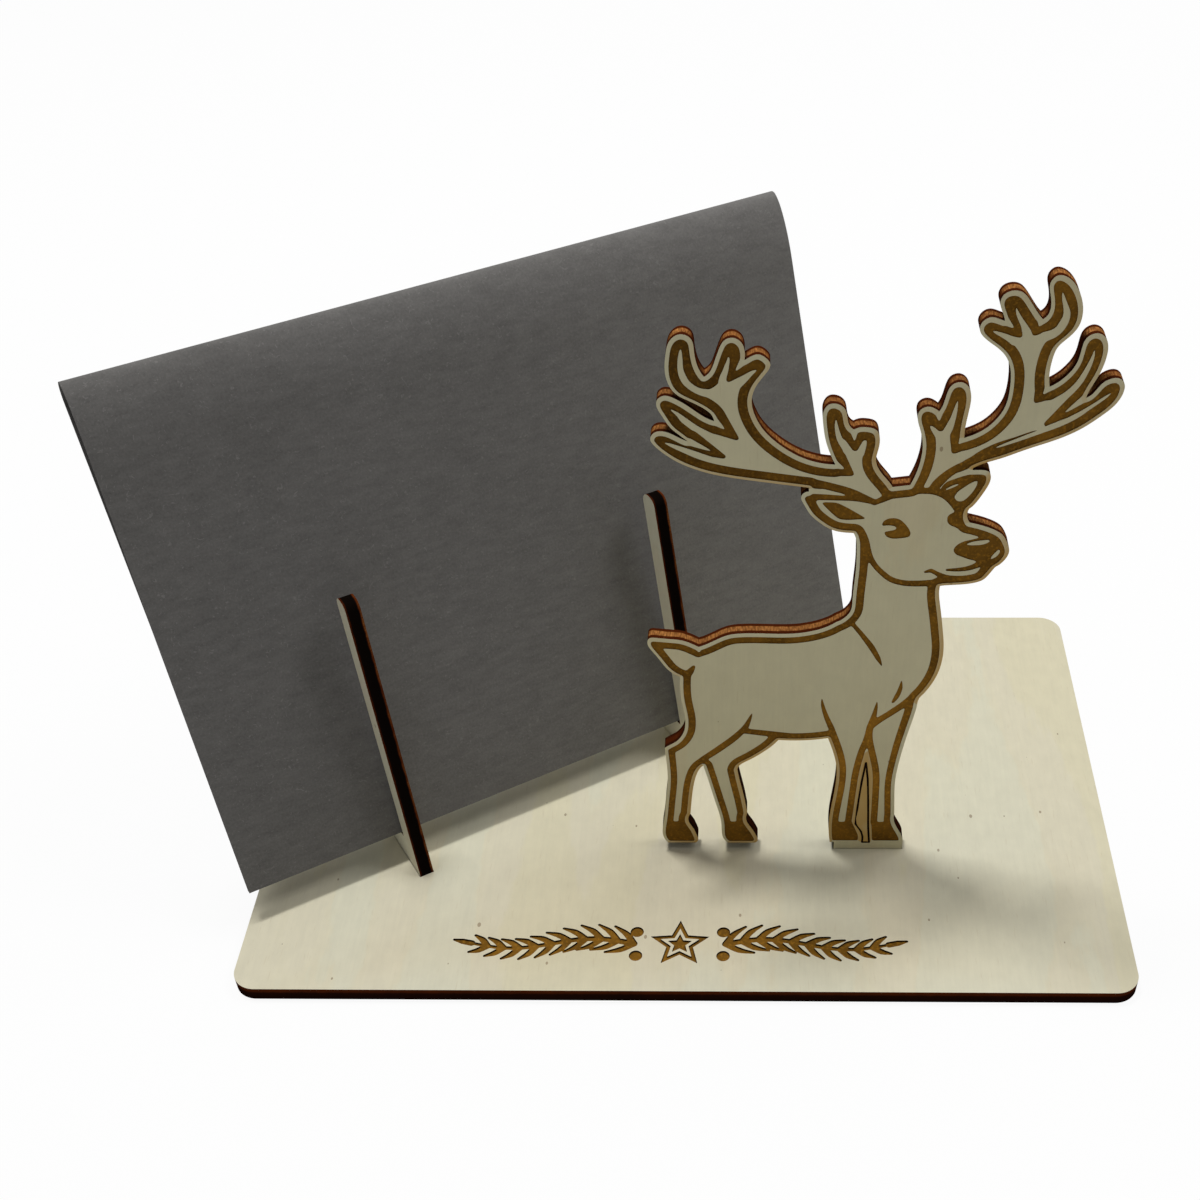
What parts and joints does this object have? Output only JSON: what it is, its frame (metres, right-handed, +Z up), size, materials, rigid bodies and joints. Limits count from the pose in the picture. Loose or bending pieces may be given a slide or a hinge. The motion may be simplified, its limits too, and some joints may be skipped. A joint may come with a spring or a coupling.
{
  "type": "gift card holder",
  "caption": "Laser-cut plywood plate with a standing reindeer and forked stays that hold a folded paper gift card upright at a slant.",
  "frame": {"origin": "centre of the plate's underside, which rests on the table", "axes": "+X along the plate's long side to the right, +Y from its front edge to its back, +Z up"},
  "size_m": [0.1995, 0.1307, 0.1326],
  "materials": {
    "plywood": "bare pale plywood with laser-burnt edges and engraving",
    "card_paper": "matt grey recycled paper"
  },
  "bodies": {
    "base": {"base_plate": "plywood"},
    "reindeer": {"reindeer": "plywood", "front_leg_offcut": "plywood"},
    "left_stay": {"left_card_stay": "plywood"},
    "right_stay": {"right_card_stay": "plywood"},
    "card": {"gift_card": "card_paper"}
  },
  "joints": [
    {"name": "reindeer_lift", "type": "slide", "parent": "base", "child": "reindeer", "axis": [0, 0, 1], "range_m": [0, 0.015]},
    {"name": "left_stay_lift", "type": "slide", "parent": "base", "child": "left_stay", "axis": [0, 0, 1], "range_m": [0, 0.015]},
    {"name": "right_stay_lift", "type": "slide", "parent": "base", "child": "right_stay", "axis": [0, 0, 1], "range_m": [0, 0.015]},
    {"name": "card_lift", "type": "slide", "parent": "left_stay", "child": "card", "axis": [-0.1638, 0.2621, 0.9511], "range_m": [0, 0.065]}
  ],
  "couplings": [
    {"joint": "right_stay_lift", "follows": "left_stay_lift", "ratio": 1}
  ]
}
